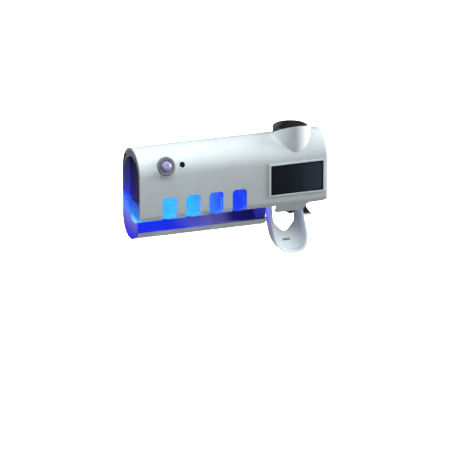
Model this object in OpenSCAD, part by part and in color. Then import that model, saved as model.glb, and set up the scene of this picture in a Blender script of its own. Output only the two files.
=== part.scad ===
// Wall-hung toothbrush sanitizer: a lit brush chamber on the left, a lever toothpaste pump on the right.
// Millimetres. +X runs along the wall to the right, +Y into the wall, +Z up.
// The origin is on the wall face of the adhesive pad, at the pad's centre.

/* [Body] */
// Length of the body along the wall
body_l = 210.5; // [208:0.5:214]
// Radius of the rounded top, half of the body's depth
arch_r = 26; // [25.5:0.25:27]
// Height of the flat front below the rounded top
straight_h = 47; // [46:0.5:49]
// Wall thickness of the mouldings
wall = 2.4; // [2:0.1:2.6]
// Rounding of the right-hand end
end_r = 4; // [3:0.5:5]

/* [Brush chamber] */
// Distance from one brush notch to the next
notch_pitch = 25.9; // [24:0.1:26.5]
// Width of a brush notch in the front shell
notch_w = 16.5; // [14:0.5:18]
// Height of a brush notch
notch_h = 23.5; // [20:0.5:26]
// Width of the neck slot in the brush tray
neck_w = 8.4; // [7:0.1:9]

/* [Solar panel] */
// Width of the dark cell area
solar_w = 58.5; // [50:0.5:59]
// Height of the dark cell area
solar_h = 32; // [26:0.5:33]

/* [Toothpaste pump] */
// Place of the pump and lever along the body
pump_x = 68.6; // [68:0.2:69.4]
// Place of the tube collar along the body
collar_x = 70.7; // [70:0.1:71.4]
// Outer radius of the tube collar
collar_r = 21; // [20.6:0.1:21.2]
// Bore of the rubber seat that grips the tube's neck
seat_bore_r = 6.2; // [5.5:0.1:6.6]
// Angle through which the lever is pushed
lever_angle = 18; // [12:1:18]

/* [Hidden] */
$fn = 72;

eps = 0.01;
// Main planes of the body
wall_gap = 2;
back_y = -wall_gap;
front_y = back_y - 2 * arch_r;
mid_y = back_y - arch_r;
arch_z = 12;
edge_z = arch_z - straight_h;
left_x = -104.5;
right_x = left_x + body_l;
part_y = -10;
seam = 0.15;

// Rolled lower edge of the front shell
curl_r = 7;
curl_z = edge_z + 5.36;
curl_stop_y = front_y + 4;
corner_r = 7;
right_corner_r = 9;

// Drip gutter under the back wall
gutter_r = 22;
gutter_t = 2;
gutter_y = back_y - gutter_r;
gutter_z = -39;
lip_y = -41;
lip_top_z = -49.5;
gutter_right_x = 40.4;
foot_x = [88.4, 97];
foot_y = -27;
foot_z = [-57.4, -55.6];
back_low_z = -50;

// Left end
end_plane_y = -22;
window_low_z = -19.6;
opening_y = -27.5;
opening_z = 8;
opening_r = 20.5;

// Brush tray
first_notch_x = -71.5;
notch_xs = [for (i = [0:3]) first_notch_x + i * notch_pitch];
tray_y = -34.4;
tray_z = -26;
tray_r = 14.8;
tray_t = 1.6;
tray_recess = 1.4;
tray_top_z = -20;
tray_x = [left_x + 0.6, 18];
tray_flange_y = -12;

// Chassis deck and partition
deck_z = [-6, -4];
partition_x = [38, 40.4];
web_y = [-9.5, -8];
lamp_y = -15;
lamp_z = -12;
lamp_r = 2.6;

// Wall bracket and its hooks
bracket_w = 96;
bracket_h = 40;
pad_t = 1;
bracket_t = 3;
pocket_y = -4.4;
pocket_half_w = bracket_w / 2 + 2;
pocket_low_z = -bracket_h / 2 - 10;
hook_x = 42;
hook_w = 12;
hook_z = 8;
hook_t = 3;
hook_lip_h = 7;
hook_lip_y = [-8.8, -6.8];
hook_gap = 0.2;
hang_drop = hook_lip_h + hook_t + 1;

// Case screws, as [x, z]
screw_spots = [[-94, 8], [56, 4], [98, 8], [98, -26]];
screw_r = 1.4;
screw_hole_r = 1.6;
boss_r = 3.5;

// Sensors on the rounded top's front: [x, angle above the horizontal]
sensor_x = -74.8;
light_x = -57.2;
sensor_tilt = 22.6;
bezel_r = 10;
lens_r = 5.6;
light_r = 3;

// Solar panel
solar_x = 69.75;
solar_z = -6;
solar_rim = 1.6;
solar_pocket = 1;

// Collar and seat
collar_y = -31.5;
collar_side_z = 38.5;
collar_front_rise = 11;
collar_low_z = 15;
seat_r = collar_r - wall - 0.2;
seat_top_z = 45;
seat_low_z = 8;
seat_cone_z = 18;

// Pump
piston_z = -19;
bore_r = 8;
bore_y = [-42, -20];
pump_w = 21;
pump_y = [-45, -20];
pump_z = [-29.5, -8.5];
duct_y = -38;
nozzle_low_z = -47.5;
lug_x = 17.5;
lug_z = -9;
lug_y = [-24, -21];
pivot_y = -17;
pivot_z = -40;
pin_r = 1.5;
ear_gap = 0.6;
ear_t = 2.8;
piston_head_y = [-27, -23];
rod_end_y = -15.1;
spring_r = 5.4;
spring_wire_r = 0.5;
spring_turns = 6;

// Lever outline
lever_half_w = 19;
lever_t = 2.2;
lever_oval_z = -70;
lever_oval_h = 19.8;
lever_square = 2.5;
lever_hole_half_w = 12;
tongue_x = [47.8, 79.8];
tongue_low_z = -43.5;
tongue_fillet = 6;

// ---------- helpers ----------

// Extrudes a (y, z) outline along X from a to b
module along_x(a, b) {
    translate([a, 0, 0]) rotate([90, 0, 90]) linear_extrude(b - a) children();
}

// Extrudes an (x, z) outline along Y from a to b
module along_y(a, b) {
    translate([0, b, 0]) rotate([90, 0, 0]) linear_extrude(b - a) children();
}

// Rectangle between two corners
module rect(low, high) {
    translate(low) square([high[0] - low[0], high[1] - low[1]]);
}

// Box between two corners
module block(low, high) {
    translate(low) cube([high[0] - low[0], high[1] - low[1], high[2] - low[2]]);
}

// Round bar along Y through (x, z)
module bar_y(x, z, r, a, b) {
    translate([x, b, z]) rotate([90, 0, 0]) cylinder(r = r, h = b - a);
}

// Round bar along X through (y, z)
module bar_x(y, z, r, a, b) {
    translate([a, y, z]) rotate([0, 90, 0]) cylinder(r = r, h = b - a);
}

// Rectangle with two rounded upper corners
module round_top(low, high, r) {
    rect(low, [high[0], high[1] - r]);
    rect([low[0] + r, low[1]], [high[0] - r, high[1]]);
    for (x = [low[0] + r, high[0] - r]) translate([x, high[1] - r]) circle(r);
}

// Points of an arc
function arc(cx, cy, rx, ry, from, to, steps) = [
    for (i = [0:steps])
        let (a = from + (to - from) * i / steps)
        [cx + rx * cos(a), cy + ry * sin(a)]
];

// Puts a child on the rounded top, its +Z along the outward normal
module on_arch(x, tilt) {
    translate([x, mid_y, arch_z]) rotate([90 - tilt, 0, 0]) translate([0, 0, arch_r]) children();
}

// Tube swept along points, for a wire
function unit(v) = v / norm(v);
function heading(p, i) = unit(p[min(i + 1, len(p) - 1)] - p[max(i - 1, 0)]);
module wire(p, r, sides = 8) {
    rings = [
        for (i = [0:len(p) - 1])
            let (t = heading(p, i), ref = abs(t[2]) < 0.9 ? [0, 0, 1] : [1, 0, 0], u = unit(cross(t, ref)), v = cross(t, u))
            for (k = [0:sides - 1]) p[i] + r * (cos(360 * k / sides) * u + sin(360 * k / sides) * v)
    ];
    last = (len(p) - 1) * sides;
    sides_faces = [
        for (i = [0:len(p) - 2]) for (k = [0:sides - 1])
            let (n = (k + 1) % sides)
            [i * sides + k, i * sides + n, (i + 1) * sides + n, (i + 1) * sides + k]
    ];
    caps = [[for (k = [sides - 1:-1:0]) k], [for (k = [0:sides - 1]) last + k]];
    polyhedron(rings, concat(sides_faces, caps));
}

// Pan-head screw along +Y: the head's top at y = head_y, the tip at y = tip_y
module screw_y(x, z, head_y, tip_y, dir) {
    head_h = 1.6;
    head_a = min(head_y, head_y + dir * head_h);
    difference() {
        union() {
            bar_y(x, z, 2.7, head_a, head_a + head_h);
            bar_y(x, z, screw_r, min(head_y + dir * head_h, tip_y), max(head_y + dir * head_h, tip_y));
        }
        for (turn = [0, 90])
            translate([x, head_y, z]) rotate([0, turn, 0]) cube([3, 1.4, 0.7], center = true);
    }
}

// ---------- body outline ----------

// Side outline of the body: half round on top, straight below
module arch_outline(inset, low_z) {
    intersection() {
        translate([mid_y, arch_z]) circle(arch_r - inset, $fn = 144);
        rect([mid_y - arch_r, arch_z], [mid_y + arch_r, arch_z + arch_r]);
    }
    rect([front_y + inset, low_z], [back_y - inset, arch_z]);
}

// Solid of the body from x = a to the rounded right-hand end
module body_solid(inset, a, low_z) {
    r = arch_r - inset;
    er = end_r - (inset > 0 ? inset : 0);
    b = right_x - inset;
    translate([0, mid_y, arch_z]) rotate([0, 90, 0]) rotate([0, 0, 90])
        rotate_extrude(angle = 180, $fn = 144) {
            rect([0, a], [r, b - er]);
            rect([0, a], [r - er, b]);
            translate([r - er, b - er]) circle(er);
        }
    translate([0, 0, low_z]) linear_extrude(arch_z - low_z) {
        rect([a, mid_y - r], [b - er, mid_y + r]);
        rect([a, mid_y - r + er], [b, mid_y + r - er]);
        for (s = [-1, 1]) translate([b - er, mid_y + s * (r - er)]) circle(er);
    }
}

// Side outline that rounds the front's lower edge
module curl_outline(inset) {
    rect([front_y + inset, curl_z], [part_y + 5, arch_z + arch_r + 5]);
    translate([front_y + curl_r, curl_z]) circle(curl_r - inset);
    rect([front_y + curl_r, curl_z - 12], [part_y + 5, curl_z]);
}

// ---------- casing ----------

module notch_cutter(grow = 0) {
    for (x = notch_xs)
        along_y(front_y - 1, front_y + 6)
            round_top([x - notch_w / 2 - grow, edge_z - 5], [x + notch_w / 2 + grow, edge_z + notch_h + grow], 4);
}

module collar_blank(r, low_z) {
    difference() {
        translate([collar_x, collar_y, low_z]) cylinder(r = r, h = 70);
        // Slanting rim, high at the front
        translate([collar_x, collar_y, collar_side_z])
            rotate([-atan(collar_front_rise / collar_r), 0, 0])
            translate([-40, -50, 0]) cube([80, 100, 80]);
    }
}

// Drop-down tongue that hides the top of the lever
module tongue() {
    lean = 28;
    r = curl_r;
    top = [front_y + r - r * cos(lean), curl_z - r * sin(lean)];
    low = [top[0] + (top[1] - tongue_low_z) * tan(lean), tongue_low_z];
    t = wall - 0.2;
    in = t * [cos(lean), sin(lean)];
    top_z = edge_z + 4;
    f = tongue_fillet;
    intersection() {
        along_x(tongue_x[0] - 2, tongue_x[1] + 2 * f) polygon([top, low, low + in, top + in]);
        along_y(front_y - 1, front_y + 20) polygon(concat(
            [[tongue_x[0] + 0.6, top_z]],
            arc(tongue_x[0] + 2, tongue_low_z + 2, 2, 2, 180, 270, 6),
            arc(tongue_x[1] - 2, tongue_low_z + 2, 2, 2, 270, 360, 6),
            arc(tongue_x[1] + f, edge_z - f, f, f, 180, 90, 10),
            [[tongue_x[1] + f + 2, edge_z], [tongue_x[1] + f + 2, top_z]]
        ));
    }
}

module front_shell() {
    color("white") difference() {
        union() {
            difference() {
                intersection() {
                    body_solid(0, left_x, edge_z);
                    along_x(left_x - 1, right_x + 1) curl_outline(0);
                    block([left_x - 1, front_y - 1, edge_z], [right_x + 1, part_y - seam, 80]);
                }
                intersection() {
                    body_solid(wall, left_x - 1, edge_z - 5);
                    along_x(left_x - 2, right_x + 1) curl_outline(wall);
                }
                block([left_x - 1, curl_stop_y, edge_z - 1], [right_x - wall, 0, curl_z]);
            }
            // Tube collar
            collar_blank(collar_r, collar_low_z);
            // Raised seats of the two sensors, and the sleeve behind the larger one
            intersection() {
                on_arch(sensor_x, sensor_tilt) translate([0, 0, -10.4]) cylinder(r = bezel_r + 1.1, h = 10.3);
                block([left_x, front_y - 2, -4], [right_x, part_y - 1, 60]);
            }
            on_arch(light_x, sensor_tilt) translate([0, 0, -4]) cylinder(r = light_r + 1.5, h = 4.3);
            // Screw bosses
            for (s = screw_spots) bar_y(s[0], s[1], boss_r, front_y + wall - 0.4, part_y - seam);
            tongue();
        }
        // Collar's bore, with a ledge under the seat
        translate([collar_x, collar_y, collar_low_z + wall]) cylinder(r = collar_r - wall, h = 80);
        translate([collar_x, collar_y, collar_low_z - 1]) cylinder(r = 12, h = 10);
        // Brush notches and the rounded lower corners
        notch_cutter();
        along_y(front_y - 1, front_y + 10) {
            difference() {
                rect([left_x - 1, edge_z - 1], [left_x + corner_r, edge_z + corner_r]);
                translate([left_x + corner_r, edge_z + corner_r]) circle(corner_r);
            }
            difference() {
                rect([right_x - right_corner_r, edge_z - 1], [right_x + 1, edge_z + right_corner_r]);
                translate([right_x - right_corner_r, edge_z + right_corner_r]) circle(right_corner_r);
            }
        }
        // Sensor openings
        on_arch(sensor_x, sensor_tilt) {
            translate([0, 0, -1.2]) cylinder(r = bezel_r + 0.1, h = 10);
            translate([0, 0, -3.4]) cylinder(r = 8, h = 10);
            translate([0, 0, -12]) cylinder(r = 9.2, h = 8.6);
        }
        on_arch(light_x, sensor_tilt) translate([0, 0, -8]) cylinder(r = light_r + 0.05, h = 20);
        // Pocket behind the solar panel, and its wire hole
        along_y(front_y - 1, front_y + solar_pocket)
            rect([solar_x - solar_w / 2 - solar_rim, solar_z - solar_h / 2 - solar_rim],
                 [solar_x + solar_w / 2 + solar_rim, solar_z + solar_h / 2 + solar_rim]);
        bar_y(solar_x - 22, solar_z + 10, 1.5, front_y - 1, front_y + 5);
        // Pilot holes
        for (s = screw_spots) bar_y(s[0], s[1], screw_r, part_y - 16, 0);
        // Charging port in the right-hand end
        block([right_x - 5, -32.7, -1.7], [right_x + 1, -23.3, 2.2]);
        // Pilot hole for the end cap's screw
        bar_x(front_y + wall + 1.75, 9, 0.8, left_x, left_x + 3);
    }
}

// Outline of the gutter and its lip
module gutter_outline() {
    difference() {
        union() {
            intersection() {
                translate([gutter_y, gutter_z]) circle(gutter_r, $fn = 120);
                rect([lip_y, gutter_z - gutter_r - 1], [0, gutter_z]);
            }
            rect([lip_y, -54], [lip_y + gutter_t, lip_top_z]);
        }
        intersection() {
            translate([gutter_y, gutter_z]) circle(gutter_r - gutter_t, $fn = 120);
            rect([lip_y + gutter_t, gutter_z - gutter_r], [0, gutter_z + 1]);
        }
        rect([lip_y - 1, lip_top_z], [lip_y + gutter_t + eps, gutter_z + 1]);
    }
}

// Outline of the brush tray, grown by a clearance
module tray_outline(grow) {
    intersection() {
        translate([tray_y, tray_z]) circle(tray_r + grow, $fn = 96);
        rect([tray_y - 30, tray_z - 30], [tray_y + 30, tray_z]);
    }
    rect([tray_y - tray_r - grow, tray_z], [tray_y + tray_r + grow, tray_top_z + grow]);
}

// Outline of the rear housing's left end wall
module end_wall_outline() {
    difference() {
        union() {
            intersection() {
                translate([opening_y, opening_z]) circle(opening_r - 0.2);
                rect([end_plane_y, opening_z], [0, 40]);
            }
            rect([end_plane_y, gutter_z - eps], [back_y - eps, arch_z - 0.2]);
            intersection() {
                translate([gutter_y, gutter_z]) circle(gutter_r - eps, $fn = 120);
                rect([lip_y + eps, gutter_z - gutter_r], [0, gutter_z]);
            }
            rect([lip_y + eps, -50], [end_plane_y, gutter_z]);
        }
        tray_outline(0.4);
        rect([end_plane_y - 1, tray_top_z - 2.4], [tray_flange_y + 0.4, tray_top_z + 0.3]);
    }
}

module rear_housing() {
    color("white") difference() {
        union() {
            // Back of the body, open to the front
            difference() {
                intersection() {
                    body_solid(0, left_x, gutter_z);
                    block([left_x, part_y, gutter_z - 1], [right_x + 1, 1, 80]);
                }
                body_solid(wall, left_x - 1, gutter_z - 5);
                // Room for the collar
                translate([collar_x, collar_y, 0]) cylinder(r = collar_r + 0.2, h = 80);
            }
            // Gutter and the back wall beside the lever
            along_x(left_x, gutter_right_x) gutter_outline();
            block([gutter_right_x - eps, back_y - wall, back_low_z], [foot_x[1], back_y, gutter_z + 1]);
            // Foot to the right of the lever
            block([foot_x[0], back_y - wall, foot_z[0]], [foot_x[1], back_y, back_low_z + eps]);
            block([foot_x[0], foot_y, foot_z[0]], [foot_x[1], back_y, foot_z[1]]);
            block([-97, back_y - wall, gutter_z - eps], [right_x - end_r, back_y, gutter_z + 2]);
            along_x(left_x, left_x + 2) end_wall_outline();
            // Stepped-in wall behind the bracket
            block([-pocket_half_w - 2.4, pocket_y - 2, pocket_low_z - 2.4], [pocket_half_w + 2.4, pocket_y + eps, 22]);
            // Bosses for the case screws and posts for the pump
            for (s = screw_spots) bar_y(s[0], s[1], boss_r, part_y, back_y - 0.5);
            for (s = [-1, 1]) bar_y(pump_x + s * lug_x, lug_z, boss_r, lug_y[1], back_y - 0.5);
        }
        // Pocket for the bracket, and the two hook slots
        block([-pocket_half_w, pocket_y, pocket_low_z], [pocket_half_w, 1, 29]);
        for (s = [-1, 1])
            block([s * hook_x - hook_w / 2 - 0.5, -8, hook_z + hook_t + hook_gap - hang_drop],
                  [s * hook_x + hook_w / 2 + 0.5, 0, hook_z + hook_t + hook_gap]);
        // Screw holes with sunk heads
        for (s = screw_spots) {
            bar_y(s[0], s[1], screw_hole_r, part_y - 1, 1);
            bar_y(s[0], s[1], 2.9, back_y - 2, 1);
        }
        for (s = [-1, 1]) bar_y(pump_x + s * lug_x, lug_z, screw_r, lug_y[1] - 1, lug_y[1] + 13);
        for (s = [-1, 1]) bar_y(pump_x + s * 12, back_low_z + 5, screw_r, -5, back_y - 0.6);
        // Drain holes along the gutter
        for (x = [-80:40:20]) translate([x, gutter_y, -62]) cylinder(r = 2, h = 6);
    }
}

module opening_outline() {
    translate([opening_y, opening_z]) circle(opening_r);
    polygon([[opening_y - opening_r, opening_z], [-50.2, -21], [0, -21], [0, opening_z]]);
}

module left_end_cap() {
    color("gainsboro") difference() {
        along_x(left_x + 0.8, left_x + 2.8)
            difference() {
                union() {
                    intersection() {
                        translate([mid_y, arch_z]) circle(arch_r - wall - 0.1, $fn = 144);
                        rect([mid_y - arch_r, arch_z], [mid_y + arch_r, 50]);
                    }
                    rect([front_y + wall + 0.1, window_low_z], [front_y + 14, arch_z]);
                }
                opening_outline();
            }
        bar_x(front_y + wall + 1.75, 9, 0.85, left_x, left_x + 4);
    }
}

module left_window() {
    color("midnightblue") along_x(left_x + 2.8, left_x + 4.4)
        intersection() {
            union() {
                translate([mid_y, arch_z]) circle(arch_r - wall - 1.2, $fn = 120);
                rect([front_y + wall + 0.4, window_low_z], [end_plane_y, arch_z]);
            }
            rect([front_y, window_low_z], [end_plane_y, 50]);
        }
}

module end_cap_screw() {
    color("silver") {
        bar_x(front_y + wall + 1.75, 9, 1.4, left_x + 0.1, left_x + 0.8);
        bar_x(front_y + wall + 1.75, 9, 0.8, left_x + 0.8, left_x + 2.7);
    }
}

module case_screws() {
    color("silver") for (s = screw_spots) screw_y(s[0], s[1], back_y - 0.3, part_y - 14, -1);
}

module wall_bracket() {
    color("white") {
        block([-bracket_w / 2, -pad_t - bracket_t, -bracket_h / 2], [bracket_w / 2, -pad_t, bracket_h / 2]);
        for (s = [-1, 1]) {
            block([s * hook_x - hook_w / 2, hook_lip_y[1] - eps, hook_z],
                  [s * hook_x + hook_w / 2, -pad_t - bracket_t + eps, hook_z + hook_t]);
            block([s * hook_x - hook_w / 2, hook_lip_y[0], hook_z],
                  [s * hook_x + hook_w / 2, hook_lip_y[1], hook_z + hook_t + hook_lip_h]);
        }
    }
}

module adhesive_pad() {
    color("dimgray") block([-bracket_w / 2 + 4, -pad_t, -bracket_h / 2 + 3], [bracket_w / 2 - 4, 0, bracket_h / 2 - 3]);
}

// ---------- brush chamber ----------

module chassis() {
    color("ghostwhite") difference() {
        union() {
            block([left_x + 6, front_y + 3.2, deck_z[0]], [partition_x[0] + eps, web_y[1], deck_z[1]]);
            // Partition between the brush chamber and the pump
            along_x(partition_x[0], partition_x[1])
                difference() {
                    union() {
                        intersection() {
                            arch_outline(wall + 0.5, edge_z + 4);
                            rect([front_y, -60], [part_y, 60]);
                        }
                        rect([-38.5, -50], [-8, edge_z + 5]);
                        intersection() {
                            translate([gutter_y, gutter_z]) circle(gutter_r - gutter_t - 0.3);
                            rect([-38.5, -62], [-5, gutter_z]);
                        }
                    }
                }
            // Web and the two rails that hold the tray's flange
            block([left_x + 6, web_y[0], tray_top_z - 4], [tray_x[1] + 1, web_y[1], deck_z[0] + eps]);
            block([left_x + 6, -18.5, tray_top_z - 4], [tray_x[1] + 1, web_y[0] + eps, tray_top_z - 2.3]);
            block([left_x + 6, -18.5, tray_top_z + 0.3], [tray_x[1] + 1, web_y[0] + eps, tray_top_z + 2]);
            // Battery saddles
            for (x = [-30, 16]) block([x, -40, deck_z[1] - eps], [x + 3, -16, 2]);
            // Board standoffs
            for (x = [-84, -48]) for (y = [-40, -18])
                translate([x, y, deck_z[1] - eps]) cylinder(r = 2.5, h = -deck_z[1] + eps);
        }
        bar_x(-28, 5.5, 9.05, -45, 35);
        // Wire pass-throughs
        translate([-94, -22, -10]) cylinder(r = 2.5, h = 10);
        bar_x(-40, 18, 3, partition_x[0] - 1, partition_x[1] + 1);
    }
}

module brush_tray() {
    color("aliceblue") difference() {
        union() {
            along_x(tray_x[0], tray_x[1]) tray_outline(0);
            block([tray_x[0], tray_y + tray_r - eps, tray_top_z - 2], [tray_x[1], tray_flange_y, tray_top_z]);
        }
        // Shallow recess in the left end
        along_x(tray_x[0] - 1, tray_x[0] + tray_recess) tray_outline(-tray_t);
        // Hollow, open at the top
        along_x(tray_x[0] + tray_recess + tray_t, tray_x[1] - tray_t) {
            intersection() {
                translate([tray_y, tray_z]) circle(tray_r - tray_t, $fn = 96);
                rect([tray_y - 30, tray_z - 30], [tray_y + 30, tray_z]);
            }
            rect([tray_y - tray_r + tray_t, tray_z - eps], [tray_y + tray_r - tray_t, tray_top_z + 1]);
        }
        for (x = notch_xs) {
            // Way in for a brush head
            block([x - 6.75, -60, -34.5], [x + 6.75, -44, -19]);
            // Slot for the brush's neck
            block([x - neck_w / 2, -60, -50], [x + neck_w / 2, -38, -19]);
            translate([x, -38, -50]) cylinder(r = neck_w / 2, h = 25);
        }
    }
}

module lamp_reflector() {
    color("silver") along_x(-86, 6)
        difference() {
            translate([lamp_y, lamp_z]) circle(5);
            translate([lamp_y, lamp_z]) circle(4.4);
            rect([lamp_y - 10, lamp_z - 10], [lamp_y - 1.5, lamp_z + 10]);
        }
}

module uv_lamp() {
    color([0.35, 0.5, 1]) bar_x(lamp_y, lamp_z, lamp_r, -91, 11);
}

module lamp_holders() {
    color("white") difference() {
        for (x = [-92, 7]) block([x, -19, -17.4], [x + 5, web_y[0] - 0.05, -6.6]);
        bar_x(lamp_y, lamp_z, lamp_r + 0.05, -91.1, 11.1);
    }
}

// ---------- electronics ----------

module control_board() {
    color("darkgreen") difference() {
        block([-88, -44, 0], [-44, -14, 1.6]);
        for (x = [-84, -48]) for (y = [-40, -18]) translate([x, y, -1]) cylinder(r = 1.2, h = 4);
    }
}

module board_parts() {
    color("dimgray") {
        block([-76, -34, 1.6], [-68, -26, 2.8]);
        block([-62, -38, 1.6], [-57, -33, 2.6]);
        translate([-60, -22, 1.6]) cylinder(r = 4, h = 5);
        translate([-70, -19, 1.6]) cylinder(r = 2.5, h = 8);
        block([-55, -30, 1.6], [-49, -24, 6]);
        block([-82, -32, 1.6], [-79, -22, 4.5]);
    }
}

module battery() {
    color("steelblue") {
        bar_x(-28, 5.5, 9, -38, 26);
        bar_x(-28, 5.5, 3, 26, 27);
    }
}

battery_route = [[27.2, -28, 5.5], [29, -28, 5.5], [30, -26, 8], [27, -22, 14], [18, -18, 17.5], [0, -17, 18], [-20, -17, 18],
    [-38, -18, 16], [-46, -22, 12], [-51, -26, 10], [-52, -27, 8.4], [-52, -27, 6.05]];
lamp_route = [[-92.6, -16, -12], [-94, -17, -12], [-94.5, -20, -10], [-94, -22, -5], [-93, -24, 1], [-90, -26, 6], [-85, -27, 7.5],
    [-81, -27, 6.6], [-80.5, -27, 5.6], [-80.5, -27, 4.55]];
solar_route = [[47.25, -50.9, 4], [46.6, -49, 6], [45, -46, 11], [43, -42, 16], [40, -40, 18], [36, -39, 18.4], [28, -36, 19.5],
    [14, -34, 21], [-6, -34, 21], [-26, -34, 19], [-42, -32, 14], [-50, -29, 10], [-53.5, -28, 8.4], [-53.5, -28, 6.05]];

module battery_leads() {
    color("crimson") wire(battery_route, 0.7);
}

module lamp_leads() {
    color("orange") wire(lamp_route, 0.7);
}

module solar_leads() {
    color("black") wire(solar_route, 0.7);
}

module sensor_bezel() {
    color("gray") on_arch(sensor_x, sensor_tilt) rotate_extrude()
        polygon([[lens_r + 0.1, -1.2], [bezel_r, -1.2], [bezel_r, 0.5], [bezel_r - 0.8, 1.1], [lens_r + 1.8, 1.1], [lens_r + 0.1, 0.2]]);
}

module sensor_lens() {
    dome_r = 6.6;
    dome_z = 3.6 - dome_r;
    color("thistle") on_arch(sensor_x, sensor_tilt) difference() {
        union() {
            intersection() {
                translate([0, 0, dome_z]) sphere(dome_r);
                translate([0, 0, -0.5]) cylinder(r = lens_r, h = 10);
            }
            translate([0, 0, -1.3]) cylinder(r = lens_r, h = 1.3);
            translate([0, 0, -2.6]) cylinder(r = 7.6, h = 1.35);
        }
        translate([0, 0, dome_z]) sphere(dome_r - 0.9);
        translate([0, 0, -4]) cylinder(r = 4.3, h = 4);
    }
}

module motion_sensor() {
    color("silver") on_arch(sensor_x, sensor_tilt) {
        translate([0, 0, -9]) cylinder(r = 4.1, h = 4);
        translate([0, 0, -9]) cylinder(r = 4.6, h = 0.5);
    }
}

module sensor_board() {
    color("darkgreen") on_arch(sensor_x, sensor_tilt) translate([0, 0, -10.2]) cylinder(r = 9.1, h = 1.2);
}

module light_sensor() {
    color("black") on_arch(light_x, sensor_tilt) {
        translate([0, 0, -6]) cylinder(r = light_r, h = 6.1);
        translate([0, 0, -6.8]) cylinder(r = light_r + 0.6, h = 0.8);
    }
}

module solar_frame() {
    color("white") along_y(front_y - 0.8, front_y + solar_pocket - 0.05)
        difference() {
            rect([solar_x - solar_w / 2 - solar_rim + 0.1, solar_z - solar_h / 2 - solar_rim + 0.1],
                 [solar_x + solar_w / 2 + solar_rim - 0.1, solar_z + solar_h / 2 + solar_rim - 0.1]);
            rect([solar_x - solar_w / 2, solar_z - solar_h / 2], [solar_x + solar_w / 2, solar_z + solar_h / 2]);
        }
}

module solar_panel() {
    color([0.08, 0.09, 0.12]) along_y(front_y - 0.3, front_y + solar_pocket - 0.05)
        rect([solar_x - solar_w / 2 + 0.1, solar_z - solar_h / 2 + 0.1], [solar_x + solar_w / 2 - 0.1, solar_z + solar_h / 2 - 0.1]);
}

module charge_port() {
    color("silver") difference() {
        block([right_x - 7, -32.5, -1.5], [right_x - 0.4, -23.5, 2]);
        block([right_x - 6, -31.9, -0.9], [right_x + 1, -24.1, 1.4]);
    }
}

// ---------- toothpaste pump ----------

module tube_seat() {
    color([0.1, 0.1, 0.11]) translate([collar_x, collar_y, 0]) rotate_extrude()
        polygon([[seat_bore_r, seat_low_z], [11.5, seat_low_z], [11.5, collar_low_z + wall + 0.1], [seat_r, collar_low_z + wall + 0.1],
            [seat_r, seat_top_z - 0.8], [seat_r - 0.8, seat_top_z], [seat_r - 1.8, seat_top_z], [seat_r - 2.4, 30],
            [seat_bore_r + 1, seat_cone_z + 1], [seat_bore_r, seat_cone_z]]);
}

module pump_body() {
    color([0.1, 0.1, 0.11]) difference() {
        union() {
            block([pump_x - pump_w / 2, pump_y[0], pump_z[0]], [pump_x + pump_w / 2, pump_y[1], pump_z[1]]);
            block([pump_x - lug_x - 3.5, lug_y[0], lug_z - 4.5], [pump_x + lug_x + 3.5, lug_y[1], lug_z + 4.5]);
            translate([pump_x, duct_y, nozzle_low_z]) cylinder(r = 5, h = 20);
            translate([collar_x, collar_y, pump_z[1] - 1]) cylinder(r = 9, h = seat_low_z - pump_z[1] + 0.9);
        }
        bar_y(pump_x, piston_z, bore_r, bore_y[0], bore_y[1] + 1);
        translate([pump_x, duct_y, nozzle_low_z - 1]) cylinder(r = 2.6, h = 25);
        // Way down from the tube's seat into the chamber
        translate([collar_x, collar_y, -2]) cylinder(r = 3.2, h = 20);
        translate([collar_x, collar_y, -2]) sphere(3.2);
        translate([collar_x, collar_y, -2]) rotate([155, 0, 0]) cylinder(r = 2.4, h = 12.5);
        for (s = [-1, 1]) bar_y(pump_x + s * lug_x, lug_z, screw_hole_r, lug_y[0] - 1, lug_y[1] + 1);
    }
}

module inlet_valve() {
    color("lightgray") translate([collar_x, collar_y, 0]) difference() {
        cylinder(r = 3.15, h = 5);
        translate([0, 0, 1]) cylinder(r1 = 0.8, r2 = 2.4, h = 5);
        translate([0, 0, 0.5]) cube([3, 0.4, 4], center = true);
    }
}

module outlet_valve() {
    color("lightgray") translate([pump_x, duct_y, 0]) difference() {
        union() {
            translate([0, 0, nozzle_low_z + 0.5]) cylinder(r = 2.55, h = 4);
            translate([0, 0, nozzle_low_z - 1.4]) cylinder(r1 = 2.2, r2 = 3.6, h = 1.4);
            translate([0, 0, nozzle_low_z - eps]) cylinder(r = 2.2, h = 1);
        }
        translate([0, 0, nozzle_low_z - 0.6]) cylinder(r1 = 0.7, r2 = 1.8, h = 6);
        translate([0, 0, nozzle_low_z - 1]) cube([2.6, 0.4, 2.4], center = true);
    }
}

module pump_piston() {
    groove_y = (piston_head_y[0] + piston_head_y[1]) / 2;
    color("white") difference() {
        union() {
            bar_y(pump_x, piston_z, bore_r - 0.05, piston_head_y[0], piston_head_y[1]);
            bar_y(pump_x, piston_z, 4.5, piston_head_y[1] - eps, rod_end_y);
            bar_y(pump_x, piston_z, 3.8, piston_head_y[0] - 3, piston_head_y[0] + eps);
        }
        translate([pump_x, groove_y, piston_z]) rotate([90, 0, 0]) rotate_extrude()
            translate([bore_r - 1.5, -0.9]) square([3, 1.8]);
    }
}

module piston_seal() {
    groove_y = (piston_head_y[0] + piston_head_y[1]) / 2;
    color("black") translate([pump_x, groove_y, piston_z]) rotate([90, 0, 0]) rotate_extrude()
        translate([bore_r - 0.75, 0]) circle(0.7, $fn = 24);
}

module return_spring() {
    rings = 72;
    start_y = bore_y[0] + spring_wire_r + 0.05;
    end_y = piston_head_y[0] - spring_wire_r - 0.05;
    color("silver") wire([
        for (i = [0:rings])
            let (a = 360 * spring_turns * i / rings)
            [pump_x + spring_r * cos(a), start_y + (end_y - start_y) * i / rings, piston_z + spring_r * sin(a)]
    ], spring_wire_r);
}

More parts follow.
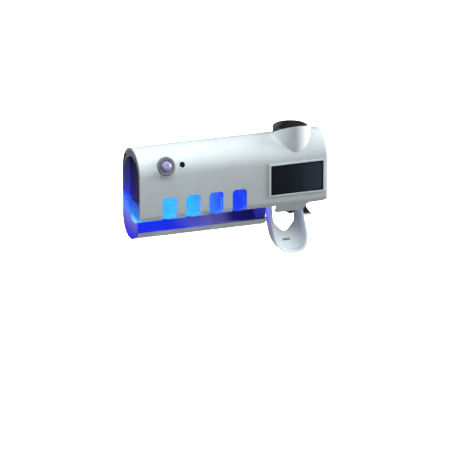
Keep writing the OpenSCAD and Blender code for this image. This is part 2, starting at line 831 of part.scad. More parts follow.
module pump_screws() {
    color("silver") for (s = [-1, 1]) screw_y(pump_x + s * lug_x, lug_z, lug_y[0] - 1.6, lug_y[1] + 12, 1);
}

module lever_bracket() {
    ear_x = lever_half_w + ear_gap;
    color([0.1, 0.1, 0.11]) difference() {
        union() {
            block([pump_x - 23, back_y - wall - 2.4, back_low_z + 0.5], [pump_x + 22.6, back_y - wall - 0.02, -33]);
            for (x = [pump_x - ear_x - ear_t, pump_x + ear_x]) {
                block([x, pivot_y, pivot_z - 5], [x + ear_t, back_y - wall - 1, pivot_z + 5]);
                bar_x(pivot_y, pivot_z, 5, x, x + ear_t);
            }
            // Gusset that widens the right ear down to the housing's foot
            along_y(foot_y + 1, back_y - wall - 1) polygon([
                [pump_x + ear_x, pivot_z - 4], [pump_x + ear_x + ear_t, pivot_z - 4], [pump_x + ear_x + ear_t, pivot_z - 8],
                [foot_x[1] - 1.2, foot_z[1] + 0.3], [pump_x + ear_x, foot_z[1] + 0.3]
            ]);
        }
        bar_x(pivot_y, pivot_z, pin_r + 0.02, pump_x - 30, pump_x + 30);
        for (s = [-1, 1]) bar_y(pump_x + s * 12, back_low_z + 5, screw_r + 0.1, -12, -3);
    }
}

module bracket_screws() {
    color("silver") for (s = [-1, 1]) screw_y(pump_x + s * 12, back_low_z + 5, back_y - wall - 4, back_y - 0.8, 1);
}

module lever_pin() {
    half = lever_half_w + ear_gap + ear_t + 1.4;
    color("silver") bar_x(pivot_y, pivot_z, pin_r, pump_x - half, pump_x + half);
}

module pin_clips() {
    x = lever_half_w + ear_gap + ear_t + 0.1;
    color("silver") for (s = [-1, 1])
        difference() {
            bar_x(pivot_y, pivot_z, 3, pump_x + s * (x + 0.3) - 0.3, pump_x + s * (x + 0.3) + 0.3);
            bar_x(pivot_y, pivot_z, pin_r + 0.01, pump_x - 40, pump_x + 40);
            block([pump_x - 40, pivot_y - 0.7, pivot_z], [pump_x + 40, pivot_y + 0.7, pivot_z + 4]);
        }
}

// Side outline of the lever's scoop, moved towards the front by a thickness
lever_back = [[-13.2, -40], [-13.8, -50], [-17, -61], [-23, -72], [-31, -82], [-39, -89], [-46, -94]];
lever_front = [[-51, -94], [-48.5, -87], [-42, -77], [-34.5, -66], [-27.5, -55], [-22.5, -46], [-20.8, -40]];
module lever_side(t) {
    polygon(concat([for (p = lever_back) p - [t, -t * 0.4]], [for (p = lever_front) p - [t > 0 ? 5 : 0, 0]]));
}

// Front outline of the scoop, a squared-off oval at the bottom
function squared(v, n) = sign(v) * pow(abs(v), 2 / n);
module lever_face(inset) {
    steps = 40;
    a = lever_half_w - inset;
    b = lever_oval_h - inset;
    polygon(concat(
        [[pump_x + a, pivot_z + 5]],
        [for (i = [0:steps])
            let (t = -180 * i / steps)
            [pump_x + a * squared(cos(t), lever_square), lever_oval_z + b * squared(sin(t), lever_square)]],
        [[pump_x - a, pivot_z + 5]]
    ));
}

// Opening through the scoop's back, wide at the top and round at the bottom
module lever_opening() {
    w = lever_hole_half_w;
    polygon(concat(
        [[pump_x - w + 2, pivot_z - 5]],
        arc(pump_x - w + 2, -48, 2, 2, 90, 180, 6),
        arc(pump_x - w + 6, -61, 6, 6, 180, 225, 6),
        arc(pump_x - 0.8, -66, 6.5, 6.5, 225, 315, 10),
        arc(pump_x + w - 6, -61, 6, 6, -45, 0, 6),
        arc(pump_x + w - 2, -48, 2, 2, 0, 90, 6),
        [[pump_x + w - 2, pivot_z - 5]]
    ));
}

module push_lever() {
    color("white") difference() {
        union() {
            difference() {
                intersection() {
                    along_x(pump_x - 30, pump_x + 30) lever_side(0);
                    along_y(-60, 0) lever_face(0);
                }
                intersection() {
                    along_x(pump_x - 30, pump_x + 30) lever_side(lever_t);
                    along_y(-70, 0) lever_face(lever_t);
                }
                along_y(-60, 0) lever_opening();
            }
            // Knuckle on the pin, and the finger that pushes the piston
            bar_x(pivot_y, pivot_z, 4, pump_x - lever_half_w, pump_x + lever_half_w);
            block([pump_x - 4, -14, pivot_z], [pump_x + 4, -11.6, piston_z]);
            bar_x(-12.8, piston_z, 2, pump_x - 4, pump_x + 4);
        }
        // Small recess on the pad
        translate([pump_x - 2, -31.8, -79.3]) rotate([51.3, 0, 0]) linear_extrude(1.4, center = true) {
            square([6, 2.8], center = true);
            for (s = [-1, 1]) translate([s * 3, 0]) circle(1.4);
        }
        bar_x(pivot_y, pivot_z, pin_r + 0.06, pump_x - 30, pump_x + 30);
    }
}

wall_bracket();
adhesive_pad();
rear_housing();
front_shell();
left_end_cap();
left_window();
end_cap_screw();
case_screws();
chassis();
brush_tray();
lamp_reflector();
uv_lamp();
lamp_holders();
control_board();
board_parts();
battery();
battery_leads();
lamp_leads();
solar_leads();
sensor_bezel();
sensor_lens();
motion_sensor();
sensor_board();
light_sensor();
solar_frame();
solar_panel();
charge_port();
tube_seat();
pump_body();
inlet_valve();
outlet_valve();
pump_piston();
piston_seal();
return_spring();
pump_screws();
lever_bracket();
bracket_screws();
lever_pin();
pin_clips();
push_lever();
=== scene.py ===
"""Looks for the wall-hung toothbrush sanitizer. Metres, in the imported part's own frame."""
import math

import bmesh
import bpy
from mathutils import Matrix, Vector


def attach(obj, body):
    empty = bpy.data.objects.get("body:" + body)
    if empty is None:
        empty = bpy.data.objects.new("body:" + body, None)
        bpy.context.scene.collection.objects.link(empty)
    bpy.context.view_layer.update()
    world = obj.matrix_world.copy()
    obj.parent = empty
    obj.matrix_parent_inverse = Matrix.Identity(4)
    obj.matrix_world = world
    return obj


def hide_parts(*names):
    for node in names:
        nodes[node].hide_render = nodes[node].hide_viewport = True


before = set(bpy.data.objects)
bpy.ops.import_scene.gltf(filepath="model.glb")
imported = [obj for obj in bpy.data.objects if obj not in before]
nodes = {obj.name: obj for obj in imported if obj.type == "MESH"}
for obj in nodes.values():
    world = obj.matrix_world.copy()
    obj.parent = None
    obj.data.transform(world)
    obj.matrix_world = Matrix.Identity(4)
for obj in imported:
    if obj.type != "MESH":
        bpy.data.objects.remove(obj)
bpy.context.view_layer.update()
MM = 0.001

# ---------------------------------------------------------------- camera

CAM_AZIMUTH = math.radians(-21.0)
CAM_ELEVATION = math.radians(17.6)
CAM_DISTANCE = 7.80
CAM_LENS = 600.0
CAM_PIVOT = Vector((0.0, -0.028, 0.0))
CAM_DROP = 0.0546
CAM_SHIFT = -0.0006


def make_camera():
    """Long-lens camera at the front left, a little above the body."""
    a, e = CAM_AZIMUTH, CAM_ELEVATION
    back = Vector((math.sin(a) * math.cos(e), -math.cos(a) * math.cos(e), math.sin(e)))
    up = Vector((-math.sin(a) * math.sin(e), math.cos(a) * math.sin(e), math.cos(e)))
    right = Vector((math.cos(a), math.sin(a), 0.0))
    data = bpy.data.cameras.new("view_camera")
    data.lens = CAM_LENS
    data.clip_start = 0.1
    data.clip_end = 60.0
    cam = bpy.data.objects.new("view_camera", data)
    bpy.context.scene.collection.objects.link(cam)
    cam.location = CAM_PIVOT + back * CAM_DISTANCE
    aim = CAM_PIVOT - up * CAM_DROP + right * CAM_SHIFT
    cam.rotation_mode = "QUATERNION"
    cam.rotation_quaternion = (aim - cam.location).to_track_quat("-Z", "Y")
    bpy.context.scene.camera = cam


make_camera()

# ---------------------------------------------------------------- places on the part

LEFT_X = -0.1045
GUTTER_Y, GUTTER_Z, GUTTER_INNER_R, GUTTER_SKIN = -0.024, -0.039, 0.0206, 0.0003
# Where each painted glow and painted shade starts and where it is full, along one axis
END_WALL_X = (LEFT_X + 0.0028, LEFT_X + 0.0019)
GUTTER_TOP_Z = (-0.034, -0.046)
GUTTER_RIGHT_X = (0.0405, 0.0380)
TRAY_END_X = (-0.1000, -0.0985)
DECK_Z = (-0.0055, -0.0065)

# ---------------------------------------------------------------- material tools


class Graph:
    """Short-hand for building one material's nodes."""

    def __init__(self, name):
        self.mat = bpy.data.materials.new(name)
        self.mat.use_nodes = True
        self.tree = self.mat.node_tree
        self.tree.nodes.clear()
        self.out = self.add("ShaderNodeOutputMaterial")
        self.bsdf = self.add("ShaderNodeBsdfPrincipled")
        self.link(self.bsdf.outputs[0], self.out.inputs[0])
        self.coord = self.add("ShaderNodeTexCoord").outputs["Object"]

    def add(self, kind, **props):
        node = self.tree.nodes.new(kind)
        for key, value in props.items():
            setattr(node, key, value)
        return node

    def link(self, a, b):
        self.tree.links.new(a, b)

    def noise(self, scale, detail=3.0, rough=0.5, vector=None):
        node = self.add("ShaderNodeTexNoise")
        node.inputs["Scale"].default_value = scale
        node.inputs["Detail"].default_value = detail
        node.inputs["Roughness"].default_value = rough
        self.link(vector or self.coord, node.inputs["Vector"])
        return node.outputs["Fac"]

    def ramp(self, fac, stops):
        node = self.add("ShaderNodeValToRGB")
        marks = node.color_ramp.elements
        while len(marks) < len(stops):
            marks.new(0.5)
        for mark, (position, colour) in zip(marks, stops):
            mark.position = position
            mark.color = (*colour, 1.0)
        self.link(fac, node.inputs[0])
        return node.outputs[0]

    def span(self, fac, start, end, low, high, smooth=False):
        """Maps start..end to low..high and clamps."""
        node = self.add("ShaderNodeMapRange", clamp=True)
        if smooth:
            node.interpolation_type = "SMOOTHSTEP"
        for i, value in enumerate((start, end, low, high)):
            node.inputs[i + 1].default_value = value
        self.link(fac, node.inputs[0])
        return node.outputs[0]

    def math(self, operation, a, b=None):
        node = self.add("ShaderNodeMath", operation=operation)
        for i, value in enumerate((a, b)):
            if value is None:
                continue
            if hasattr(value, "links"):
                self.link(value, node.inputs[i])
            else:
                node.inputs[i].default_value = value
        return node.outputs[0]

    def axis(self, which):
        node = self.add("ShaderNodeSeparateXYZ")
        self.link(self.coord, node.inputs[0])
        return node.outputs[which]

    def bump(self, height, strength, distance, normal=None):
        node = self.add("ShaderNodeBump")
        node.inputs["Strength"].default_value = strength
        node.inputs["Distance"].default_value = distance
        self.link(height, node.inputs["Height"])
        if normal is not None:
            self.link(normal, node.inputs["Normal"])
        return node.outputs[0]

    def mix(self, mask, first, second, blend="MIX"):
        """Goes from the first colour to the second. Each may be a socket, and so may the mask."""
        node = self.add("ShaderNodeMix", data_type="RGBA", blend_type=blend)
        for slot, value in ((0, mask), (6, first), (7, second)):
            if hasattr(value, "links"):
                self.link(value, node.inputs[slot])
            else:
                node.inputs[slot].default_value = value
        return node.outputs[2]

    def fade(self, which, zero_at, one_at):
        """0 at one place along an axis, 1 at another."""
        return self.span(self.axis(which), zero_at, one_at, 0.0, 1.0, smooth=True)

    def along(self, which, low, high, stops):
        """Colours along an axis, each given with its place in metres."""
        share = self.span(self.axis(which), low, high, 0.0, 1.0)
        return self.ramp(share, [((at - low) / (high - low), colour) for at, colour in stops])

    def paint_glow(self, colour, strength):
        """Paints a glow into the surface, standing in for the lamp's light that a wall passes on, from two
        sockets.
        """
        self.link(colour, self.bsdf.inputs["Emission Color"])
        self.link(strength, self.bsdf.inputs["Emission Strength"])

    def paint_shade(self, mask, colour):
        """Mixes a deep colour into the base colour where the mask is 1: painted shade."""
        base = self.bsdf.inputs["Base Color"]
        self.link(self.mix(mask, base.links[0].from_socket, (*colour, 1.0)), base)

    def set(self, **values):
        for key, value in values.items():
            self.bsdf.inputs[key.replace("_", " ")].default_value = value


X, Y, Z = 0, 1, 2


def shade(colour, factor):
    return tuple(min(1.0, channel * factor) for channel in colour)


def plastic(name, base, rough, grain_scale=1400, vary=0.03, coat=0.0):
    """Moulded plastic: faint colour drift, uneven gloss, fine moulded grain and slight sink marks."""
    g = Graph(name)
    drift = g.noise(26, 3, 0.55)
    colour = g.ramp(drift, [(0.3, shade(base, 1 - vary)), (0.72, shade(base, 1 + vary * 0.6))])
    g.link(colour, g.bsdf.inputs["Base Color"])
    gloss = g.noise(90, 4, 0.6)
    g.link(g.span(gloss, 0.25, 0.75, rough * 0.86, min(1.0, rough * 1.16)), g.bsdf.inputs["Roughness"])
    sinks = g.bump(g.noise(34, 1, 0.4), 0.35, 0.00006)
    g.link(g.bump(g.noise(grain_scale, 2, 0.5), 0.5, 0.00002, sinks), g.bsdf.inputs["Normal"])
    g.set(IOR=1.47, Coat_Weight=coat, Coat_Roughness=0.12)
    return g


def metal(name, base, rough, brush=(1, 1, 1)):
    """Metal with fine brushed lines."""
    g = Graph(name)
    stretch = g.add("ShaderNodeMapping")
    stretch.inputs["Scale"].default_value = brush
    g.link(g.coord, stretch.inputs["Vector"])
    lines = g.noise(500, 3, 0.6, stretch.outputs[0])
    g.link(g.ramp(lines, [(0.3, shade(base, 0.82)), (0.7, shade(base, 1.06))]), g.bsdf.inputs["Base Color"])
    g.link(g.span(lines, 0.3, 0.7, rough * 0.75, rough * 1.3), g.bsdf.inputs["Roughness"])
    g.link(g.bump(lines, 0.25, 0.00001), g.bsdf.inputs["Normal"])
    g.set(Metallic=1.0)
    return g


def rubber(name, base, rough=0.62):
    """Rubber, foam and wire sheath: dusty, finely grained."""
    g = Graph(name)
    dust = g.noise(220, 4, 0.6)
    g.link(g.ramp(dust, [(0.35, base), (0.8, shade(base, 1.7))]), g.bsdf.inputs["Base Color"])
    g.link(g.span(dust, 0.3, 0.7, rough * 0.9, min(1.0, rough * 1.15)), g.bsdf.inputs["Roughness"])
    g.link(g.bump(g.noise(2200, 2), 0.5, 0.00002), g.bsdf.inputs["Normal"])
    g.set(Sheen_Weight=0.15)
    return g


# ---------------------------------------------------------------- plain materials

WHITE = (0.80, 0.825, 0.84)
INNER_WHITE = (0.80, 0.81, 0.83)

white = plastic("white_abs", WHITE, 0.34, coat=0.12)
inner = plastic("inner_abs", INNER_WHITE, 0.5)
# Painted shade: the left end ring is white plastic, given a grey colour for the shade on its faces that turn
# away from the light
grey = plastic("end_ring_painted_shade", (0.42, 0.44, 0.46), 0.42)
black = plastic("black_abs", (0.022, 0.022, 0.025), 0.45, vary=0.15)
gloss_black = plastic("black_gloss", (0.012, 0.012, 0.016), 0.12, vary=0.1, coat=0.6)
wrap = plastic("battery_wrap", (0.03, 0.14, 0.42), 0.22)
foam = rubber("foam_tape", (0.20, 0.20, 0.21), 0.9)
dark_rubber = rubber("black_rubber", (0.02, 0.02, 0.021))
silicone = rubber("silicone", (0.62, 0.62, 0.64), 0.45)
red_wire = rubber("wire_red", (0.42, 0.02, 0.02), 0.45)
pale_wire = rubber("wire_white", (0.62, 0.62, 0.62), 0.45)
black_wire = rubber("wire_black", (0.02, 0.02, 0.02), 0.45)
steel = metal("steel", (0.58, 0.58, 0.60), 0.28)
mirror = metal("reflector", (0.86, 0.87, 0.90), 0.12, brush=(0.05, 1, 1))
board = plastic("board_green", (0.02, 0.14, 0.05), 0.35, vary=0.2)

# ---------------------------------------------------------------- materials with a painted lamp glow

# Painted lamp glow: emission colours, each at its place in metres along one axis, standing in for the lamp's
# light
END_GLOW = [
    (-0.061, (0.015, 0.012, 0.55)), (-0.055, (0.02, 0.02, 0.85)), (-0.047, (0.10, 0.08, 0.60)),
    (-0.039, (0.15, 0.14, 0.72)), (-0.031, (0.10, 0.24, 1.0)), (-0.022, (0.03, 0.17, 1.0)),
    (-0.013, (0.015, 0.015, 0.62)), (-0.003, (0.016, 0.014, 0.26)), (0.010, (0.012, 0.010, 0.12)),
    (0.024, (0.006, 0.005, 0.04))]
GUTTER_GLOW = [
    (LEFT_X, (0.010, 0.014, 0.84)), (-0.055, (0.012, 0.012, 0.76)), (-0.036, (0.07, 0.065, 0.55)),
    (-0.012, (0.10, 0.09, 0.34)), (0.002, (0.08, 0.075, 0.26)), (0.014, (0.008, 0.007, 0.11)),
    (0.038, (0.004, 0.004, 0.05))]
TRAY_END_GLOW = [
    (-0.041, (0.30, 0.95, 1.0)), (-0.0385, (0.22, 0.80, 1.0)), (-0.034, (0.02, 0.24, 0.92)),
    (-0.027, (0.01, 0.16, 0.90)), (-0.020, (0.006, 0.04, 0.70))]
TRAY_GLOW = [
    (-0.0985, (0.02, 0.55, 0.95)), (-0.060, (0.08, 0.72, 1.0)), (-0.036, (0.05, 0.60, 1.0)),
    (-0.018, (0.06, 0.26, 0.95)), (0.002, (0.02, 0.07, 0.78)), (0.03, (0.01, 0.02, 0.45))]
CHASSIS_GLOW = [
    (-0.10, (0.004, 0.006, 0.16)), (-0.091, (0.006, 0.02, 0.25)), (-0.082, (0.01, 0.62, 0.95)),
    (-0.045, (0.02, 0.55, 0.95)), (-0.022, (0.05, 0.24, 0.95)), (0.002, (0.05, 0.10, 0.75)),
    (0.012, (0.03, 0.03, 0.42)), (0.03, (0.02, 0.02, 0.2))]
WINDOW_GLOW = [
    (-0.02, (0.020, 0.016, 0.12)), (-0.005, (0.016, 0.013, 0.08)), (0.01, (0.010, 0.008, 0.045)),
    (0.034, (0.004, 0.003, 0.02))]


def rear_look():
    """White; its left end and the inside of the gutter carry a painted lamp glow, and painted shade darkens
    their base colour.
    """
    g = plastic("rear_abs", WHITE, 0.42)
    end_mask = g.fade(X, *END_WALL_X)
    end_colour = g.along(Z, -0.062, 0.028, END_GLOW)
    dy = g.math("ADD", g.axis(Y), -GUTTER_Y)
    dz = g.math("ADD", g.axis(Z), -GUTTER_Z)
    radius = g.math("SQRT", g.math("ADD", g.math("MULTIPLY", dy, dy), g.math("MULTIPLY", dz, dz)))
    in_gutter = g.span(radius, GUTTER_INNER_R + GUTTER_SKIN, GUTTER_INNER_R, 0.0, 1.0)
    below = g.fade(Z, *GUTTER_TOP_Z)
    left_part = g.fade(X, *GUTTER_RIGHT_X)
    gutter_mask = g.math("MULTIPLY", g.math("MULTIPLY", in_gutter, below), left_part)
    gutter_colour = g.along(X, LEFT_X, 0.042, GUTTER_GLOW)
    both = g.math("MAXIMUM", end_mask, gutter_mask)
    cloud = g.span(g.noise(45, 3), 0.3, 0.7, 0.8, 1.15)
    # Painted glow on the left end and in the gutter, standing in for the lamp's light
    g.paint_glow(g.mix(end_mask, gutter_colour, end_colour), g.math("MULTIPLY", both, cloud))
    # Painted shade: the same places darkened to a deep blue-black
    g.paint_shade(both, (0.01, 0.01, 0.05))
    return g


def tray_look():
    """Clear-blue moulding with a painted lamp glow: cyan under the lamp's left, deep blue at its right."""
    g = plastic("tray_plastic", (0.06, 0.16, 0.60), 0.22, coat=0.4)
    end_colour = g.along(Z, -0.041, -0.020, TRAY_END_GLOW)
    inside_colour = g.along(X, -0.0985, 0.03, TRAY_GLOW)
    colour = g.mix(g.fade(X, *TRAY_END_X), end_colour, inside_colour)
    g.paint_glow(colour, g.span(g.noise(70, 3), 0.3, 0.7, 0.55, 0.75))
    return g


def chassis_look():
    """Inner white; the part under the deck carries a painted flood of lamp glow and painted blue shade."""
    g = plastic("chassis_abs", INNER_WHITE, 0.5)
    under = g.fade(Z, *DECK_Z)
    g.paint_glow(g.along(X, -0.10, 0.04, CHASSIS_GLOW), g.math("MULTIPLY", under, 0.8))
    g.paint_shade(under, (0.02, 0.08, 0.35))
    return g


def lamp_look():
    """Glowing blue tube."""
    g = Graph("lamp_glass")
    g.set(Roughness=0.1)
    g.bsdf.inputs["Base Color"].default_value = (0.4, 0.5, 1.0, 1)
    g.bsdf.inputs["Emission Color"].default_value = (0.05, 0.16, 1.0, 1.0)
    g.link(g.span(g.noise(60, 2), 0.3, 0.7, 9.0, 12.0), g.bsdf.inputs["Emission Strength"])
    return g


def window_look():
    """Dark violet plastic with a faint painted glow, brighter towards the bottom."""
    g = plastic("violet_window", (0.012, 0.008, 0.05), 0.55)
    g.paint_glow(g.along(Z, -0.02, 0.036, WINDOW_GLOW), g.span(g.noise(60, 3), 0.3, 0.7, 0.75, 1.1))
    return g


rear = rear_look()
tray = tray_look()
chassis = chassis_look()
lamp = lamp_look()
window = window_look()

# ---------------------------------------------------------------- motion sensor's materials

bezel = plastic("bezel_grey", (0.19, 0.19, 0.215), 0.42)
# Milky lens plastic; its lavender colour is painted light, standing in for the lamp's violet light behind it
lens = plastic("lens_lavender", (0.40, 0.33, 0.62), 0.30, coat=0.2)

# ---------------------------------------------------------------- solar panel's materials

CELL_WAVE = 0.0029
# Painted reflection: how much brighter the cells are made, at each place along x
PANEL_PAINTED_REFLECTION = [
    (0.0405, (0.6, 0.65, 0.8)), (0.060, (0.9, 1.0, 1.2)), (0.074, (2.0, 2.1, 2.3)),
    (0.088, (3.8, 3.9, 4.0)), (0.099, (5.0, 5.2, 5.0))]


def solar_look():
    """Dark cells with fine lines across, made paler towards the right by a painted reflection."""
    g = Graph("solar_cells")
    wave = g.math("SINE", g.math("MULTIPLY", g.axis(X), 2 * math.pi / CELL_WAVE))
    lines = g.span(wave, 0.55, 0.95, 0.0, 1.0)
    grain = g.noise(900, 3)
    speckle = g.math("ADD", g.math("MULTIPLY", grain, 0.2), 0.55)
    tone = g.math("ADD", g.math("MULTIPLY", lines, -0.35), speckle)
    cells = g.ramp(tone, [(0.15, (0.004, 0.005, 0.009)), (0.75, (0.014, 0.016, 0.024))])
    painted_reflection = g.along(X, 0.0405, 0.099, PANEL_PAINTED_REFLECTION)
    g.link(g.mix(1.0, cells, painted_reflection, "MULTIPLY"), g.bsdf.inputs["Base Color"])
    g.link(g.span(grain, 0.3, 0.7, 0.26, 0.36), g.bsdf.inputs["Roughness"])
    g.link(g.bump(wave, 0.12, 0.00002), g.bsdf.inputs["Normal"])
    g.set(IOR=1.5, Coat_Weight=0.25, Coat_Roughness=0.15)
    return g


solar = solar_look()
# A white frame, made whiter than the shell: the extra brightness is a painted highlight on its edges
frame_white_painted_highlight = plastic("frame_white_painted_highlight", (0.97, 0.98, 0.98), 0.25, coat=0.8)
border = plastic("panel_border", (0.002, 0.0025, 0.005), 0.4, vary=0.1)
cell_line = plastic("cell_line", (0.05, 0.055, 0.075), 0.4, vary=0.1)

# ---------------------------------------------------------------- lever pad's material

pad_grey = plastic("pad_inlay", (0.17, 0.18, 0.19), 0.5)

# ---------------------------------------------------------------- looks of the CAD nodes

LOOKS = {
    "wall_bracket": white, "adhesive_pad": foam, "rear_housing": rear, "front_shell": white,
    "left_end_cap": grey, "left_window": window, "end_cap_screw": steel, "case_screws": steel,
    "chassis": chassis, "brush_tray": tray, "lamp_reflector": mirror, "uv_lamp": lamp,
    "lamp_holders": inner, "control_board": board, "board_parts": black, "battery": wrap,
    "battery_leads": red_wire, "lamp_leads": pale_wire, "solar_leads": black_wire,
    "sensor_bezel": bezel, "sensor_lens": lens, "motion_sensor": steel, "sensor_board": board,
    "light_sensor": gloss_black, "solar_frame": frame_white_painted_highlight, "solar_panel": solar,
    "charge_port": steel, "tube_seat": dark_rubber, "pump_body": black, "inlet_valve": silicone,
    "outlet_valve": silicone, "pump_piston": inner, "piston_seal": dark_rubber, "return_spring": steel,
    "pump_screws": steel, "lever_bracket": black, "bracket_screws": steel, "lever_pin": steel,
    "pin_clips": steel, "push_lever": white,
}
for name, obj in nodes.items():
    obj.data.materials.clear()
    obj.data.materials.append(LOOKS[name].mat)

# Small rounding on moulded edges, in millimetres
EDGES = {
    "front_shell": 0.35, "rear_housing": 0.35, "push_lever": 0.5, "brush_tray": 0.25, "solar_frame": 0.35,
    "left_end_cap": 0.3, "wall_bracket": 0.4, "lever_bracket": 0.3, "tube_seat": 0.3, "pump_body": 0.3,
}
for name, width in EDGES.items():
    flat = nodes[name].modifiers.new("merge_flat", "DECIMATE")
    flat.decimate_type = "DISSOLVE"
    flat.angle_limit = math.radians(0.5)
    bevel = nodes[name].modifiers.new("edge_round", "BEVEL")
    bevel.width = width * MM
    bevel.segments = 2
    bevel.limit_method = "ANGLE"
    bevel.angle_limit = math.radians(40)
    bevel.harden_normals = True

# ---------------------------------------------------------------- tools for fine pieces, in millimetres


def piece(name, mesh_data, look, body):
    """A closed mesh given in millimetres, riding a CAD body."""
    verts, faces = mesh_data
    mesh = bpy.data.meshes.new(name)
    mesh.from_pydata([tuple(c * MM for c in v) for v in verts], [], faces)
    bm = bmesh.new()
    bm.from_mesh(mesh)
    bmesh.ops.recalc_face_normals(bm, faces=bm.faces)
    bm.to_mesh(mesh)
    bm.free()
    obj = bpy.data.objects.new(name, mesh)
    bpy.context.scene.collection.objects.link(obj)
    mesh.materials.append(look.mat)
    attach(obj, body)
    return obj


def local_frame(origin, x_axis, y_axis):
    """A function that turns local millimetres into the part's frame."""
    o, x, y = Vector(origin), Vector(x_axis).normalized(), Vector(y_axis).normalized()
    z = x.cross(y)
    return lambda p: tuple(o + x * p[0] + y * p[1] + z * p[2])


def boxes(place, corners):
    """Closed boxes between local corners, as one set of vertices and faces."""
    verts, faces = [], []
    for (x0, y0, z0), (x1, y1, z1) in corners:
        k = len(verts)
        verts += [place((x, y, z)) for z in (z0, z1) for y in (y0, y1) for x in (x0, x1)]
        for face in ((0, 1, 3, 2), (4, 5, 7, 6), (0, 1, 5, 4), (2, 3, 7, 6), (0, 2, 6, 4), (1, 3, 7, 5)):
            faces.append(tuple(k + i for i in face))
    return verts, faces


# ---------------------------------------------------------------- motion sensor's lens

TILT = math.radians(22.6)
ARCH_Y, ARCH_Z, ARCH_R = -28, 12, 26
SENSOR_AT = (-74.8, ARCH_Y - ARCH_R * math.cos(TILT), ARCH_Z + ARCH_R * math.sin(TILT))
SIDES = 12
# Radius and height of each ring of corners
LENS_OUTSIDE = [(4.3, -2.6), (7.6, -2.6), (7.6, -1.25), (5.55, -1.25), (5.55, 0.9), (4.9, 2.1), (2.7, 3.2)]
LENS_INSIDE = [(4.3, 1.2), (2.0, 2.5)]
# Facets above this height that face outwards this much are dished
DISH_ABOVE, DISH_FACING = 1.4, 0.2
DISH_RIM, DISH_DEPTH = 0.28, 0.16
on_dome = local_frame(SENSOR_AT, (1, 0, 0), (0, math.sin(TILT), math.cos(TILT)))


def ring(radius, height):
    step = 2 * math.pi / SIDES
    turns = [step * i for i in range(SIDES)]
    return [on_dome((radius * math.cos(turn), radius * math.sin(turn), height)) for turn in turns]


def facet(low, high, k):
    """The face at place k between two rings, each given by its first corner."""
    n = (k + 1) % SIDES
    return (low + k, low + n, high + n, high + k)


def lid(start):
    """The flat face that closes a ring."""
    return tuple(start + k for k in range(SIDES))


def lens_mesh():
    """A hollow cap: rings up the outside to a flat top, and two rings inside from the foot."""
    verts, faces = [], []
    for radius, height in LENS_OUTSIDE + LENS_INSIDE:
        verts += ring(radius, height)
    top = (len(LENS_OUTSIDE) - 1) * SIDES
    foot_inside = top + SIDES
    top_inside = foot_inside + SIDES
    for low in range(0, top, SIDES):
        faces += [facet(low, low + SIDES, k) for k in range(SIDES)]
    faces.append(lid(top))
    for k in range(SIDES):
        faces.append(facet(0, foot_inside, k))
        faces.append(facet(foot_inside, top_inside, k))
    faces.append(lid(top_inside))
    return verts, faces


def dish_facets(obj):
    """Insets and sinks each facet of the dome."""
    centre = Vector(SENSOR_AT) * MM
    outward = Vector((0, -math.cos(TILT), math.sin(TILT)))
    bm = bmesh.new()
    bm.from_mesh(obj.data)
    dished = []
    for face in bm.faces:
        height = (face.calc_center_median() - centre).dot(outward)
        if height > DISH_ABOVE * MM and face.normal.dot(outward) > DISH_FACING:
            dished.append(face)
    bmesh.ops.inset_individual(bm, faces=dished, thickness=DISH_RIM * MM, depth=-DISH_DEPTH * MM)
    bm.to_mesh(obj.data)
    bm.free()


lens_cap = piece("lens_cap", lens_mesh(), lens, "housing")
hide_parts("sensor_lens")
dish_facets(lens_cap)

# ---------------------------------------------------------------- solar panel's border and cell lines

HALF_W, HALF_H, RIM, RIM_HEIGHT = 29.1, 15.85, 1.3, 0.06
INNER_W, INNER_H = HALF_W - RIM, HALF_H - RIM
CELLS = 18
PITCH = 2 * INNER_W / CELLS
LINE_HALF, LINE_HEIGHT = 0.09, 0.03
at_panel = local_frame((69.75, -54.31, -6.0), (1, 0, 0), (0, 0, 1))
RIM_BOXES = [
    ((-HALF_W, -HALF_H, 0.0), (HALF_W, -INNER_H, RIM_HEIGHT)),
    ((-HALF_W, INNER_H, 0.0), (HALF_W, HALF_H, RIM_HEIGHT)),
    ((-HALF_W, -INNER_H, 0.0), (-INNER_W, INNER_H, RIM_HEIGHT)),
    ((INNER_W, -INNER_H, 0.0), (HALF_W, INNER_H, RIM_HEIGHT)),
]
piece("panel_edge", boxes(at_panel, RIM_BOXES), border, "housing")
line_boxes = []
for i in range(1, CELLS):
    middle = -INNER_W + PITCH * i
    line_boxes.append(((middle - LINE_HALF, -INNER_H, 0.0), (middle + LINE_HALF, INNER_H, LINE_HEIGHT)))
piece("cell_lines", boxes(at_panel, line_boxes), cell_line, "housing")

# ---------------------------------------------------------------- grey inlay in the lever pad's recess

PAD_TURN = math.radians(51.3)
PAD_AT = (66.6, -31.8, -79.3)
INLAY_BOX = [((-3.8, -1.1, -0.69), (3.8, 1.1, -0.12))]
INLAY_EDGE = 0.35
on_pad = local_frame(PAD_AT, (1, 0, 0), (0, math.cos(PAD_TURN), math.sin(PAD_TURN)))
inlay = piece("pad_inlay", boxes(on_pad, INLAY_BOX), pad_grey, "lever")
inlay_edge = inlay.modifiers.new("edge_round", "BEVEL")
inlay_edge.width = INLAY_EDGE * MM
inlay_edge.segments = 2

# ---------------------------------------------------------------- floor and light

FLOOR_SIZE = 7.0
FLOOR_AT = (0.6, 1.6, -0.9)
WORLD_COLOUR = (0.97, 0.99, 1, 1)
WORLD_STRENGTH = 0.05

COOL = (0.905, 0.99, 1.0)
PURE = (1, 1, 1)
LAMP_BLUE = (0.10, 0.07, 1.0)
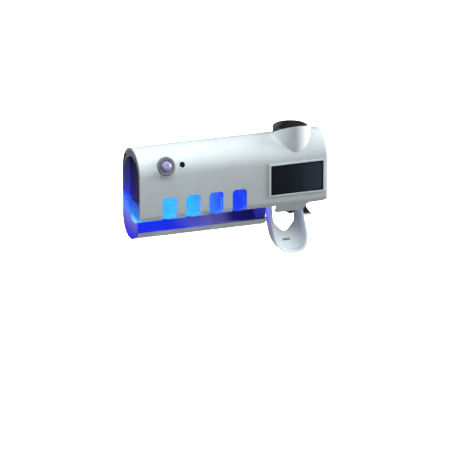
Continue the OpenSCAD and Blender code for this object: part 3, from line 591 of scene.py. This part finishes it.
# Name, place, aim, size, watts, colour, spread in degrees
LIGHTS = [
    ("key", (-0.11, -0.13, 0.37), (0, -0.03, 0), (0.34, 0.20), 1.5, COOL, 180),
    ("strip", (-0.13, -0.40, 0.27), (-0.10, -0.05, 0.050), (0.22, 0.04), 0.014, COOL, 34),
    ("fill", (-0.25, -1.3, 0.3), (0, 0, -0.03), (0.8, 0.5), 0.25, COOL, 180),
    ("side", (-0.9, -0.30, -0.05), (-0.10, -0.03, 0), (0.3, 0.3), 0.8, COOL, 180),
    ("rim", (0.9, -0.14, 0.16), (0.05, -0.03, 0), (0.3, 0.5), 15.0, COOL, 180),
    ("lever_kick", (0.05, -0.17, -0.050), (0.069, -0.03, -0.082), (0.02, 0.02), 0.0012, COOL, 14),
    ("backdrop", (1.06, 2.9, 0.5), (1.06, 2.9, -0.9), (1.7, 2.6), 62, PURE, 100),
    ("lamp_spill", (0.0412, -0.026, -0.048), (0.060, -0.024, -0.052), (0.006, 0.010), 0.0028, LAMP_BLUE, 180),
]


def make_floor():
    """Plain pale floor, far below the part."""
    look = plastic("pale_floor", (0.93, 0.93, 0.93), 0.85, grain_scale=3000, vary=0.004)
    mesh = bpy.data.meshes.new("floor")
    h = FLOOR_SIZE / 2
    mesh.from_pydata([(-h, -h, 0), (h, -h, 0), (h, h, 0), (-h, h, 0)], [], [(0, 1, 2, 3)])
    obj = bpy.data.objects.new("floor", mesh)
    obj.location = FLOOR_AT
    bpy.context.scene.collection.objects.link(obj)
    mesh.materials.append(look.mat)


def make_world():
    world = bpy.data.worlds.new("studio")
    world.use_nodes = True
    bpy.context.scene.world = world
    background = world.node_tree.nodes["Background"]
    background.inputs[0].default_value = WORLD_COLOUR
    background.inputs[1].default_value = WORLD_STRENGTH


def make_light(name, location, target, size, power, colour, spread):
    data = bpy.data.lights.new(name, "AREA")
    data.shape = "RECTANGLE"
    data.size, data.size_y = size
    data.energy = power
    data.color = colour
    data.spread = math.radians(spread)
    obj = bpy.data.objects.new(name, data)
    obj.location = location
    obj.rotation_mode = "QUATERNION"
    obj.rotation_quaternion = (Vector(target) - Vector(location)).to_track_quat("-Z", "Y")
    bpy.context.scene.collection.objects.link(obj)


make_floor()
make_world()
for light in LIGHTS:
    make_light(*light)
bpy.context.scene.view_settings.view_transform = "Standard"
